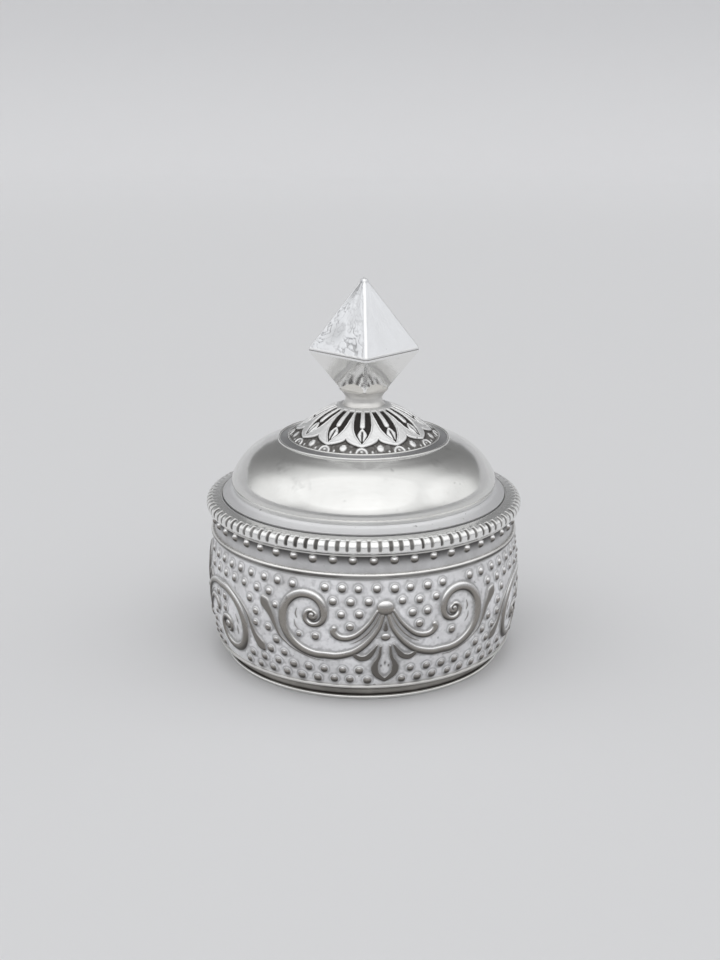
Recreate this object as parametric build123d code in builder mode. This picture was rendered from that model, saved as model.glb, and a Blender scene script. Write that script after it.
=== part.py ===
from build123d import *
import os
from math import cos, radians, sin, sqrt

os.makedirs("parts", exist_ok=True)

# A small round box for sindoor powder in embossed silver sheet, with a lift-off domed lid.
# Origin: centre of the foot, on the table. +Z is up through the tip of the knob.

# Driving dimensions, in millimetres
rim_radius = 26.0
sheet = 0.6
foot_wire_height = 0.7
foot_ring_height = 1.85
base_plate_thickness = 0.5
wall_height = 17.5
girdle_height = 1.0
bead_band_height = 2.6
mouth_rim_thickness = 0.4
lid_roll_radius = 1.1
lid_shoulder_rise = 0.1
flange_rise = 1.05
dome_rise = 7.9
rosette_rise = 5.35
relief_height = 0.4
neck_height = 2.8
lower_pyramid_height = 6.4
upper_pyramid_height = 11.5
equator_half_diagonal = 8.87
neck_lip_radius = 4.0
neck_waist_radius = 3.0
pin_radius = 0.8

# Fits between the lid and the mouth of the box
bezel_clearance = 0.1
bezel_headroom = 0.3
bezel_stand = 1.4
bezel_depth = 5.0

# Ornament counts and turns about the axis, in degrees
bead_count = 50
petal_count = 12
petal_turn = -1.7
knob_turn = 2.0

# Radii of the body, from the rim radius
foot_inner_radius = rim_radius - 3.7
foot_wire_radius = rim_radius - 2.6
foot_waist_radius = rim_radius - 2.95
foot_top_radius = rim_radius - 1.65
base_plate_radius = rim_radius - 1.25
wall_bottom_radius = rim_radius - 1.55
wall_belly_radius = rim_radius - 0.25
wall_top_radius = rim_radius - 1.25
girdle_radius = rim_radius - 0.7
mouth_rim_radius = rim_radius - 0.9
bezel_radius = rim_radius - 2.5
belly_share = 0.5

# Radii of the lid, from the rim radius
flange_radius = rim_radius - 2.75
shelf_inner_radius = rim_radius - 3.6
dome_base_radius = rim_radius - 4.6
dome_bulge_radius = rim_radius - 4.25
dome_shoulder_radius = dome_base_radius - 1.6
dome_flat_radius = rim_radius - 11.9
dome_crown_radius = dome_flat_radius + 4.1
outer_wire_inner_radius = dome_flat_radius - 0.45
inner_wire_outer_radius = dome_flat_radius - 1.6
rosette_radius = inner_wire_outer_radius - 0.35
rosette_crown_radius = 0.68 * rosette_radius
petal_tip_radius = rosette_radius - 1.05
petal_notch_radius = rosette_radius - 2.4
rosette_top_radius = neck_lip_radius
relief_inner_radius = rosette_top_radius + 0.05
leaf_recess_inner_radius = relief_inner_radius + 0.25
leaf_recess_tip_radius = petal_tip_radius - 0.75

# Heights of the joints between the pieces
foot_ring_bottom = foot_wire_height
base_plate_bottom = foot_ring_bottom + foot_ring_height
wall_bottom = base_plate_bottom + base_plate_thickness
wall_top = wall_bottom + wall_height
bead_band_bottom = wall_top + girdle_height
bead_band_top = bead_band_bottom + bead_band_height
seat = bead_band_top + mouth_rim_thickness
lid_roll_centre = seat + lid_roll_radius
shelf_top = seat + 2 * lid_roll_radius + lid_shoulder_rise
shelf_bottom = seat + bezel_stand + bezel_headroom
dome_bottom = shelf_top + flange_rise
dome_bulge_height = dome_bottom + 0.15 * dome_rise
dome_shoulder_height = dome_bottom + 0.575 * dome_rise
dome_crown_height = dome_bottom + 0.77 * dome_rise
dome_top = dome_bottom + dome_rise
rosette_crown_height = dome_top + 0.6 * rosette_rise
rosette_top = dome_top + rosette_rise
knob_bottom = rosette_top + neck_height
equator = knob_bottom + lower_pyramid_height
tip = equator + upper_pyramid_height

# Small features
bead_radius = 0.7
bead_inset = 0.15
bead_row_rise = 1.75
cove_out = 0.25
cove_share = 0.62
ring_wire_rise = 0.35
inner_wire_rise = 0.6
rosette_edge_rise = 0.35
relief_root_depth = 0.3 * sheet
bud_gap = 0.15
tip_half_diagonal = 0.3
washer_radius = 2.6
washer_thickness = 0.4
pin_head_radius = 1.5
pin_head_height = 0.6


def half_round(inner_radius, outer_radius, bottom, top):
    """Section of a wire with a flat inner side and a half-round outer side."""
    bulge = (top - bottom) / 2
    with BuildLine() as outline:
        Polyline(
            (outer_radius - bulge, top),
            (inner_radius, top),
            (inner_radius, bottom),
            (outer_radius - bulge, bottom),
        )
        ThreePointArc(
            (outer_radius - bulge, bottom),
            (outer_radius, bottom + bulge),
            (outer_radius - bulge, top),
        )
    make_face(outline.edges())


def tube_section(inner_radius, outer_radius, bottom, top):
    """Section of a plain ring or disc with a square edge."""
    with Locations((inner_radius, bottom)):
        Rectangle(outer_radius - inner_radius, top - bottom, align=Align.MIN)


# Foot: a half-round wire on the table, under a hollowed ring
with BuildPart() as foot_wire:
    with BuildSketch(Plane.XZ):
        half_round(foot_inner_radius, foot_wire_radius, 0, foot_wire_height)
    revolve(axis=Axis.Z)

with BuildPart() as foot_ring:
    with BuildSketch(Plane.XZ):
        with BuildLine():
            Polyline(
                (foot_top_radius, base_plate_bottom),
                (foot_inner_radius, base_plate_bottom),
                (foot_inner_radius, foot_ring_bottom),
                (foot_waist_radius, foot_ring_bottom),
            )
            ThreePointArc(
                (foot_waist_radius, foot_ring_bottom),
                (foot_waist_radius + cove_out, foot_ring_bottom + cove_share * foot_ring_height),
                (foot_top_radius, base_plate_bottom),
            )
        make_face()
    revolve(axis=Axis.Z)

# Floor of the box, its edge showing as a fine line under the wall
with BuildPart() as base_plate:
    with BuildSketch(Plane.XY.offset(base_plate_bottom)):
        Circle(base_plate_radius)
    extrude(amount=base_plate_thickness)
    fillet(base_plate.edges(), radius=0.4 * base_plate_thickness)

# Embossed wall, one curved sheet from the floor to the girdle wire
with BuildPart() as body_shell:
    with BuildSketch(Plane.XZ):
        belly_height = wall_bottom + belly_share * wall_height
        with BuildLine():
            Line((wall_bottom_radius - sheet, wall_bottom), (wall_bottom_radius, wall_bottom))
            ThreePointArc(
                (wall_bottom_radius, wall_bottom),
                (wall_belly_radius, belly_height),
                (wall_top_radius, wall_top),
            )
            Line((wall_top_radius, wall_top), (wall_top_radius - sheet, wall_top))
            ThreePointArc(
                (wall_top_radius - sheet, wall_top),
                (wall_belly_radius - sheet, belly_height),
                (wall_bottom_radius - sheet, wall_bottom),
            )
        make_face()
    revolve(axis=Axis.Z)

with BuildPart() as girdle_wire:
    with BuildSketch(Plane.XZ):
        half_round(wall_top_radius - sheet, girdle_radius, wall_top, bead_band_bottom)
    revolve(axis=Axis.Z)

# Collar strip with one row of round beads, pressed out of the sheet
with BuildPart() as bead_band:
    with BuildSketch(Plane.XZ):
        tube_section(wall_top_radius - sheet, wall_top_radius, bead_band_bottom, bead_band_top)
    revolve(axis=Axis.Z)
    with Locations(Plane.XY.offset(bead_band_bottom + bead_row_rise)):
        with PolarLocations(wall_top_radius - bead_inset, bead_count):
            Sphere(bead_radius)
    with BuildSketch(Plane.XZ):
        tube_section(0, wall_top_radius - sheet, bead_band_bottom, bead_band_top)
    revolve(axis=Axis.Z, mode=Mode.SUBTRACT)

with BuildPart() as mouth_rim:
    with BuildSketch(Plane.XZ):
        tube_section(bezel_radius, mouth_rim_radius, bead_band_top, seat)
    revolve(axis=Axis.Z)

# Upright collar inside the mouth, which the lid slips over
with BuildPart() as mouth_bezel:
    with BuildSketch(Plane.XZ):
        tube_section(bezel_radius - sheet, bezel_radius, seat - bezel_depth, seat + bezel_stand)
    revolve(axis=Axis.Z)

# Rim of the lid: a rolled edge, and a shoulder that carries the flange
with BuildPart() as lid_rim:
    with BuildSketch(Plane.XZ):
        roll_centre_radius = rim_radius - lid_roll_radius
        roll_top = lid_roll_centre + lid_roll_radius
        bore_radius = bezel_radius + bezel_clearance
        with BuildLine():
            Polyline(
                (roll_centre_radius, roll_top),
                (flange_radius, shelf_top),
                (shelf_inner_radius, shelf_top),
                (shelf_inner_radius, shelf_bottom),
                (bore_radius, shelf_bottom),
                (bore_radius, seat),
                (roll_centre_radius, seat),
            )
            ThreePointArc(
                (roll_centre_radius, seat),
                (rim_radius, lid_roll_centre),
                (roll_centre_radius, roll_top),
            )
        make_face()
    revolve(axis=Axis.Z)

# Sloping band between the rim and the dome
with BuildPart() as lid_flange:
    with BuildSketch(Plane.XZ):
        with BuildLine():
            Polyline(
                (shelf_inner_radius, shelf_top),
                (flange_radius, shelf_top),
                (flange_radius, shelf_top + 0.4 * sheet),
                (dome_base_radius, dome_bottom),
                (dome_base_radius - sheet, dome_bottom),
                (dome_base_radius - sheet, dome_bottom - sheet),
                close=True,
            )
        make_face()
    revolve(axis=Axis.Z)

# Bun-shaped dome, polished, with a flat top that carries the rosette
dome_foot_slope = (0.45, 1)
dome_top_slope = (-1, 0.16)
shoulder_lean = 42
crown_lean = 58


def inside_sheet(radius, height, lean):
    """Point one sheet thickness inside an outline that faces lean degrees above level."""
    return (radius - sheet * cos(radians(lean)), height - sheet * sin(radians(lean)))


with BuildPart() as lid_dome:
    with BuildSketch(Plane.XZ):
        with BuildLine():
            Spline(
                (dome_base_radius, dome_bottom),
                (dome_bulge_radius, dome_bulge_height),
                (dome_shoulder_radius, dome_shoulder_height),
                (dome_crown_radius, dome_crown_height),
                (dome_flat_radius, dome_top),
                tangents=[dome_foot_slope, dome_top_slope],
            )
            Line((dome_flat_radius, dome_top), (pin_radius, dome_top))
            Line((pin_radius, dome_top), (pin_radius, dome_top - sheet))
            Line((pin_radius, dome_top - sheet), (dome_flat_radius, dome_top - sheet))
            Spline(
                (dome_base_radius - sheet, dome_bottom),
                (dome_bulge_radius - sheet, dome_bulge_height),
                inside_sheet(dome_shoulder_radius, dome_shoulder_height, shoulder_lean),
                inside_sheet(dome_crown_radius, dome_crown_height, crown_lean),
                (dome_flat_radius, dome_top - sheet),
                tangents=[dome_foot_slope, dome_top_slope],
            )
            Line((dome_base_radius - sheet, dome_bottom), (dome_base_radius, dome_bottom))
        make_face()
    revolve(axis=Axis.Z)

# Plain border of the rosette, between two ring wires
with BuildPart() as rosette_band:
    with BuildSketch(Plane.XZ):
        with BuildLine():
            Polyline(
                (inner_wire_outer_radius, dome_top),
                (outer_wire_inner_radius, dome_top),
                (outer_wire_inner_radius, dome_top + 0.4 * ring_wire_rise),
                (inner_wire_outer_radius, dome_top + 0.7 * inner_wire_rise),
                close=True,
            )
        make_face()
    revolve(axis=Axis.Z)

with BuildPart() as outer_ring_wire:
    with BuildSketch(Plane.XZ):
        tube_section(outer_wire_inner_radius, dome_flat_radius, dome_top, dome_top + ring_wire_rise)
    revolve(axis=Axis.Z)
    fillet(outer_ring_wire.edges().group_by(Axis.Z)[-1], radius=0.3 * ring_wire_rise)

with BuildPart() as inner_ring_wire:
    with BuildSketch(Plane.XZ):
        tube_section(rosette_radius, inner_wire_outer_radius, dome_top, dome_top + inner_wire_rise)
    revolve(axis=Axis.Z)
    fillet(inner_ring_wire.edges().group_by(Axis.Z)[-1], radius=0.3 * ring_wire_rise)


# Rosette: a hollow cone of pointed leaves round the neck
def rosette_curve(lift):
    """Upper outline of the leaf cone from its edge to its flat top, raised by lift."""
    ThreePointArc(
        (rosette_radius, dome_top + rosette_edge_rise + lift),
        (rosette_crown_radius, rosette_crown_height + lift),
        (rosette_top_radius, rosette_top + lift),
    )


with BuildPart() as leaf_cone:
    with BuildSketch(Plane.XZ):
        with BuildLine():
            rosette_curve(0)
            Line((rosette_top_radius, rosette_top), (pin_radius, rosette_top))
            Line((pin_radius, rosette_top), (pin_radius, rosette_top - sheet))
            Line((pin_radius, rosette_top - sheet), (rosette_top_radius, rosette_top - sheet))
            Line(
                (rosette_top_radius, rosette_top - sheet),
                (rosette_radius - 2 * sheet, dome_top),
            )
            Line((rosette_radius - 2 * sheet, dome_top), (rosette_radius, dome_top))
            Line((rosette_radius, dome_top), (rosette_radius, dome_top + rosette_edge_rise))
        make_face()
    revolve(axis=Axis.Z)

# Plan of one petal's point, and of the pointed hollow inside the petal, both out along +X
with BuildSketch() as petal_point:
    half_angle = radians(180 / petal_count)
    root_radius = petal_notch_radius * cos(half_angle) - 0.05
    root_half_width = petal_notch_radius * sin(half_angle) - 0.05
    shoulder_radius = 0.5 * (petal_notch_radius + petal_tip_radius)
    shoulder_half_width = 0.62 * root_half_width
    with BuildLine():
        ThreePointArc(
            (root_radius, root_half_width),
            (shoulder_radius, shoulder_half_width),
            (petal_tip_radius, 0),
        )
        mirror(about=Plane.XZ)
        Line((root_radius, -root_half_width), (root_radius, root_half_width))
    make_face()

with BuildSketch() as leaf_recess:
    recess_half_width = 0.5 * root_half_width
    recess_length = leaf_recess_tip_radius - leaf_recess_inner_radius
    widest = leaf_recess_inner_radius + 0.6 * recess_length
    with BuildLine():
        ThreePointArc(
            (leaf_recess_inner_radius, 0.42 * recess_half_width),
            (leaf_recess_inner_radius + 0.3 * recess_length, 0.84 * recess_half_width),
            (widest, recess_half_width),
        )
        ThreePointArc(
            (widest, recess_half_width),
            (widest + 0.24 * recess_length, 0.7 * recess_half_width),
            (leaf_recess_tip_radius, 0),
        )
        mirror(about=Plane.XZ)
        Line(
            (leaf_recess_inner_radius, -0.42 * recess_half_width),
            (leaf_recess_inner_radius, 0.42 * recess_half_width),
        )
    make_face()

with BuildPart() as leaf_relief:
    with BuildSketch(Plane.XY.offset(dome_top)):
        Circle(petal_notch_radius)
        with PolarLocations(0, petal_count, start_angle=petal_turn - 90):
            add(petal_point.sketch)
        with PolarLocations(0, petal_count, start_angle=petal_turn - 90):
            add(leaf_recess.sketch, mode=Mode.SUBTRACT)
        rib_length = 0.58 * recess_length
        rib_centre = leaf_recess_inner_radius - 0.1 + rib_length / 2
        with PolarLocations(rib_centre, petal_count, start_angle=petal_turn - 90):
            SlotOverall(rib_length, 0.72 * recess_half_width)
        bud_length = 0.18 * recess_length
        bud_centre = rib_centre + rib_length / 2 + bud_gap + bud_length
        with PolarLocations(bud_centre, petal_count, start_angle=petal_turn - 90):
            Ellipse(bud_length, 0.55 * recess_half_width)
        Circle(relief_inner_radius, mode=Mode.SUBTRACT)
    extrude(amount=rosette_rise + 2 * relief_height)
    with BuildSketch(Plane.XZ):
        with BuildLine():
            rosette_curve(relief_height)
            Line((rosette_top_radius, rosette_top + relief_height), (0, rosette_top + relief_height))
            relief_bottom = rosette_top - relief_root_depth
            Line((0, rosette_top + relief_height), (0, relief_bottom))
            Line((0, relief_bottom), (rosette_top_radius, relief_bottom))
            rosette_curve(-relief_root_depth)
            Line(
                (rosette_radius, dome_top + rosette_edge_rise - relief_root_depth),
                (rosette_radius, dome_top + rosette_edge_rise + relief_height),
            )
        make_face()
    revolve(axis=Axis.Z, mode=Mode.INTERSECT)

with BuildPart() as leaf_rosette:
    add(leaf_cone.part)
    add(leaf_relief.part)

# Waisted neck under the knob, bored for the pin
with BuildPart() as neck:
    neck_foot_radius = neck_lip_radius - 0.05
    with BuildSketch(Plane.XZ):
        with BuildLine():
            Polyline(
                (neck_lip_radius, knob_bottom),
                (pin_radius, knob_bottom),
                (pin_radius, rosette_top),
                (neck_foot_radius, rosette_top),
            )
            Spline(
                (neck_foot_radius, rosette_top),
                (neck_waist_radius, rosette_top + 0.45 * neck_height),
                (neck_lip_radius, knob_bottom),
                tangents=[(-1, 0.6), (1, 1)],
            )
        make_face()
    revolve(axis=Axis.Z)


def square_sketch(height, half_diagonal):
    """Horizontal square with a corner turned to the front, at a height."""
    with BuildSketch(Plane.XY.offset(height)) as square:
        Rectangle(sqrt(2) * half_diagonal, sqrt(2) * half_diagonal, rotation=45 + knob_turn)
    return square.sketch


# Knob: two hollow pyramids soldered base to base
corner_sheet = sqrt(2) * sheet
with BuildPart() as lower_pyramid:
    loft([square_sketch(knob_bottom, neck_lip_radius), square_sketch(equator, equator_half_diagonal)])
    slope = (equator_half_diagonal - neck_lip_radius) / lower_pyramid_height
    hollow_foot = square_sketch(knob_bottom + sheet, neck_lip_radius + slope * sheet - corner_sheet)
    hollow_mouth = square_sketch(equator, equator_half_diagonal - corner_sheet)
    loft([hollow_foot, hollow_mouth], mode=Mode.SUBTRACT)
    with BuildSketch(Plane.XY.offset(knob_bottom)):
        Circle(pin_radius)
    extrude(amount=sheet, mode=Mode.SUBTRACT)

with BuildPart() as upper_pyramid:
    loft([square_sketch(equator, equator_half_diagonal), square_sketch(tip, tip_half_diagonal)])
    lean = (equator_half_diagonal - tip_half_diagonal) / upper_pyramid_height
    hollow_rise = (equator_half_diagonal - corner_sheet - tip_half_diagonal) / lean
    hollow_base = square_sketch(equator, equator_half_diagonal - corner_sheet)
    hollow_tip = square_sketch(equator + hollow_rise, tip_half_diagonal)
    loft([hollow_base, hollow_tip], mode=Mode.SUBTRACT)

# Riveted pin that holds the knob, neck and rosette to the dome, and its washer
washer_bottom = dome_top - sheet - washer_thickness
with BuildPart() as pin_washer:
    with BuildSketch(Plane.XZ):
        tube_section(pin_radius, washer_radius, washer_bottom, dome_top - sheet)
    revolve(axis=Axis.Z)

with BuildPart() as knob_pin:
    pin_bottom = washer_bottom - pin_head_height
    pin_top = knob_bottom + sheet + pin_head_height
    with BuildSketch(Plane.XZ):
        tube_section(0, pin_radius, pin_bottom, pin_top)
        tube_section(0, pin_head_radius, knob_bottom + sheet, pin_top)
        tube_section(0, pin_head_radius, pin_bottom, washer_bottom)
    revolve(axis=Axis.Z)
    fillet(knob_pin.edges().group_by(Axis.Z)[0], radius=0.5 * pin_head_height)
    fillet(knob_pin.edges().group_by(Axis.Z)[-1], radius=0.5 * pin_head_height)

pieces = {
    "foot_wire": foot_wire,
    "foot_ring": foot_ring,
    "base_plate": base_plate,
    "body_shell": body_shell,
    "girdle_wire": girdle_wire,
    "bead_band": bead_band,
    "mouth_rim": mouth_rim,
    "mouth_bezel": mouth_bezel,
    "lid_rim": lid_rim,
    "lid_flange": lid_flange,
    "lid_dome": lid_dome,
    "rosette_band": rosette_band,
    "outer_ring_wire": outer_ring_wire,
    "inner_ring_wire": inner_ring_wire,
    "leaf_rosette": leaf_rosette,
    "neck": neck,
    "lower_pyramid": lower_pyramid,
    "upper_pyramid": upper_pyramid,
    "pin_washer": pin_washer,
    "knob_pin": knob_pin,
}
for name, piece in pieces.items():
    piece.part.label = name
    export_step(piece.part, f"parts/{name}.step")
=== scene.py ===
import math

import bpy
import numpy as np
from mathutils import Matrix, Vector


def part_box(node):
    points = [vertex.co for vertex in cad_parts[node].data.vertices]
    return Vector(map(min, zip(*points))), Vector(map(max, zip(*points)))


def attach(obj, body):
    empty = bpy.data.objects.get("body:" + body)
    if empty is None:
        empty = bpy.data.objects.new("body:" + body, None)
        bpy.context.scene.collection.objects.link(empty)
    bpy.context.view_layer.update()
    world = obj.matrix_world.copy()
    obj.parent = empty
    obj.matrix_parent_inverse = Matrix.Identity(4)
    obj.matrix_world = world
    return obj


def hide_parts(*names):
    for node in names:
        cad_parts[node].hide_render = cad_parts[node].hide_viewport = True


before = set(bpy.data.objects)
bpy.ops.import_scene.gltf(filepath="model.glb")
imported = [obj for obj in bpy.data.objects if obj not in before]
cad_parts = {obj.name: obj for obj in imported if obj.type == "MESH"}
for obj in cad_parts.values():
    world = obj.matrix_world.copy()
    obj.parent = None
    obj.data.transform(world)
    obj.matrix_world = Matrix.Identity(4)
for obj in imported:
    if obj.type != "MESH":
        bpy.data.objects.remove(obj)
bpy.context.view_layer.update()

MM = 0.001


# Sizes read from the frame, in millimetres


def bottom(node):
    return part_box(node)[0].z / MM


def top(node):
    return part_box(node)[1].z / MM


def span(node):
    return bottom(node), top(node)


def radius(node):
    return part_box(node)[1].x / MM


RIM_R = radius("lid_rim")
FOOT_INNER_R = RIM_R - 3.7
SHELF_INNER_R = RIM_R - 3.6
DOME_FOOT_R = RIM_R - 4.6
DOME_FLAT_R = RIM_R - 11.9
PIN_HOLE_R = 0.8
SHEET = 0.6

# Ornament counts and turns about the axis, in degrees
BEADS_IN_BAND = 50
BAND_TURN = 3.5
BEADS_IN_ROW = 60
MOTIFS = 4
MOTIF_TURN = 7.4
FLUTES = 100
PETALS = 12
PETAL_TURN = -1.7
KNOB_TURN = 2.0

# Steps round the axis of a plain ring, and a distance in millimetres that stands for out of reach
RING_STEPS = 360
FAR = 9.0


# Lines and fields


def angles(count):
    """Angles round the axis, counted from the front (-Y) towards +X."""
    return np.arange(count) * 2 * math.pi / count


def ring_grid(columns, low, high, rows):
    """Two fields over a ring: the angle round the axis, and a second coordinate from low to high."""
    return np.meshgrid(angles(columns), np.linspace(low, high, rows), indexing="ij")


def wrapped(theta, centre, period=2 * math.pi):
    """Angle from a centre, brought to within half a period either way."""
    return (theta - centre + period / 2) % period - period / 2


def waves(theta, seed, orders=(2, 3, 5, 8, 13)):
    """Slow seeded waves round the axis, between about -1 and 1."""
    turn = np.random.default_rng(seed).uniform(0, 2 * math.pi, len(orders))
    total = sum(np.sin(k * theta + t) / (i + 1) for i, (k, t) in enumerate(zip(orders, turn)))
    return total / 2.3


def arc(centre, size, start, end, steps):
    """Points on an arc, angles in degrees from +r towards +z."""
    turn = np.radians(np.linspace(start, end, steps))
    return [(centre[0] + size * math.cos(a), centre[1] + size * math.sin(a)) for a in turn]


def curve(points, steps=12):
    """A smooth line through the given points (Catmull-Rom)."""
    p = np.array(points, dtype=float)
    p = np.vstack([2 * p[0] - p[1], p, 2 * p[-1] - p[-2]])
    out = []
    for a, b, c, d in zip(p[:-3], p[1:-2], p[2:-1], p[3:]):
        bend = 2 * a - 5 * b + 4 * c - d
        twist = 3 * b - a - 3 * c + d
        for t in np.linspace(0, 1, steps, endpoint=False):
            out.append(0.5 * (2 * b + (c - a) * t + bend * t**2 + twist * t**3))
    out.append(p[-2])
    return np.array(out)


def smooth(x, low, high):
    """0 up to low, 1 from high on, and an easy slope between."""
    t = np.clip((x - low) / (high - low), 0, 1)
    return t * t * (3 - 2 * t)


def bell(x, width):
    """1 where x is 0, fading to almost nothing at twice the width."""
    return np.exp(-((x / width) ** 2))


def blur(field, along, across):
    """Gaussian blur of a field that wraps round the axis; sizes in samples."""
    padded = np.concatenate([field, field[:, ::-1]], axis=1)
    fu = np.fft.fftfreq(padded.shape[0])[:, None]
    fv = np.fft.fftfreq(padded.shape[1])[None, :]
    kernel = np.exp(-2 * math.pi**2 * ((fu * along) ** 2 + (fv * across) ** 2))
    return np.fft.ifft2(np.fft.fft2(padded) * kernel).real[:, : field.shape[1]]


def hollows(height, along, across, full):
    """How far a surface lies below its own blurred form, 1 where it is about that deep."""
    return np.clip((blur(height, along, across) - height - 0.01) / full, 0, 1)


def stroke_distance(x, y, path, halves):
    """Signed distance to a stroke with a half-width at each point of its path, negative inside."""
    best = np.full(x.shape, FAR)
    for (x0, y0), (x1, y1), w0, w1 in zip(path[:-1], path[1:], halves[:-1], halves[1:]):
        dx, dy = x1 - x0, y1 - y0
        t = np.clip(((x - x0) * dx + (y - y0) * dy) / (dx * dx + dy * dy), 0, 1)
        gap = np.hypot(x - x0 - t * dx, y - y0 - t * dy) - (w0 + t * (w1 - w0))
        np.minimum(best, gap, out=best)
    return best


def ridge(gap, shoulder, height):
    """Rounded ridge that reaches its height at one shoulder's width inside the edge."""
    inside = np.clip(-gap / shoulder, 0, 1)
    return height * np.sqrt(1 - (1 - inside) ** 2)


def pip(u, v, half_u, half_v):
    """Rounded boss with those half-widths, as a share of its height."""
    return np.sqrt(np.clip(1 - np.hypot(u / half_u, v / half_v), 0, 1))


# Meshes


def mesh_piece(name, points, faces):
    mesh = bpy.data.meshes.new(name)
    mesh.from_pydata((np.asarray(points) * MM).tolist(), [], faces)
    mesh.update()
    piece = bpy.data.objects.new(name, mesh)
    bpy.context.scene.collection.objects.link(piece)
    return piece


def ring_piece(name, r, z, sharp=40):
    """A closed ring: r and z hold one closed section for each angle round the axis."""
    count, steps = r.shape
    theta = angles(count)[:, None]
    points = np.stack([r * np.sin(theta), -r * np.cos(theta), z], axis=-1).reshape(-1, 3)
    index = np.arange(count * steps).reshape(count, steps)
    after = np.roll(index, -1, axis=0)
    up = np.roll(index, -1, axis=1)
    both = np.roll(after, -1, axis=1)
    quads = np.stack([index, after, both, up], axis=-1).reshape(-1, 4)
    piece = mesh_piece(name, points, quads.tolist())
    piece.data.shade_smooth()
    piece.data.set_sharp_from_angle(angle=math.radians(sharp))
    return piece


def revolve(name, outline, count=RING_STEPS, wobble=0.0, seed=1):
    """Revolves a closed outline of (radius, height) points, with a little handmade waviness."""
    section = np.array(outline, dtype=float)
    r = np.tile(section[:, 0], (count, 1))
    z = np.tile(section[:, 1], (count, 1))
    if wobble:
        r = r - wobble * (1 + waves(angles(count), seed))[:, None] / 2
    return ring_piece(name, r, z)


def relief_piece(name, r, z, inside, sharp=60):
    """A ring with a sculpted outside, closed by a plain inside of (radius, height) points."""
    inside_r, inside_z = np.array(inside, dtype=float).T
    closed_r = np.concatenate([r, np.tile(inside_r, (len(r), 1))], axis=1)
    closed_z = np.concatenate([z, np.tile(inside_z, (len(z), 1))], axis=1)
    return ring_piece(name, closed_r, closed_z, sharp)


def paint(piece, name, values):
    """Stores one number for each vertex, which the materials read."""
    layer = piece.data.attributes.new(name, "FLOAT", "POINT")
    layer.data.foreach_set("value", np.asarray(values, dtype=np.float32).ravel())


def paint_relief(piece, inside, polish, soot_and_shade):
    """Paints both marks on the sculpted outside of a relief piece, and none on its inside."""
    bare = np.zeros((len(polish), len(inside)))
    paint(piece, "polish", np.concatenate([polish, bare], axis=1))
    paint(piece, "soot_and_shade", np.concatenate([soot_and_shade, bare], axis=1))


# Motifs of the embossed wall, drawn as the right half of one palmette: x in millimetres from its middle,
# z in millimetres from the table

EYE = (11.15, 14.6)
TULIP_MIDDLE = 6.8
MOTIF_REACH = 22.0
# An upside-down motif has its points at this height less their own
MIRROR_SUM = 23.0


def scroll_path():
    """Long scroll: a stem from the boss that winds into a spiral round its eye."""
    stem = curve([(0.44, 14.95), (1.15, 12.9), (2.7, 10.75), (4.4, 9.3), (6.1, 8.55), (7.8, 8.15)])
    turns = curve(
        [
            (-105, 6.6), (-68, 5.95), (-20, 5.25), (30, 4.4), (87, 3.1), (150, 2.0),
            (230, 1.55), (310, 1.38), (370, 1.15), (430, 0.8),
        ]
    )
    bend = np.radians(turns[:, 0])
    size = turns[:, 1]
    spiral = np.stack([EYE[0] + size * np.cos(bend), EYE[1] + size * np.sin(bend)], axis=1)
    return np.vstack([stem[:-1], spiral])


def stroke(path, stops, shoulder, share, flat=0.0):
    """A stroke: path, half-widths, shoulder, height as a share of the relief, and flatness of its top.

    The half-widths are given as stops, each a share of the path's points and a half-width there.
    """
    places, sizes = zip(*stops)
    return path, np.interp(np.linspace(0, 1, len(path)), places, sizes), shoulder, share, flat


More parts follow.
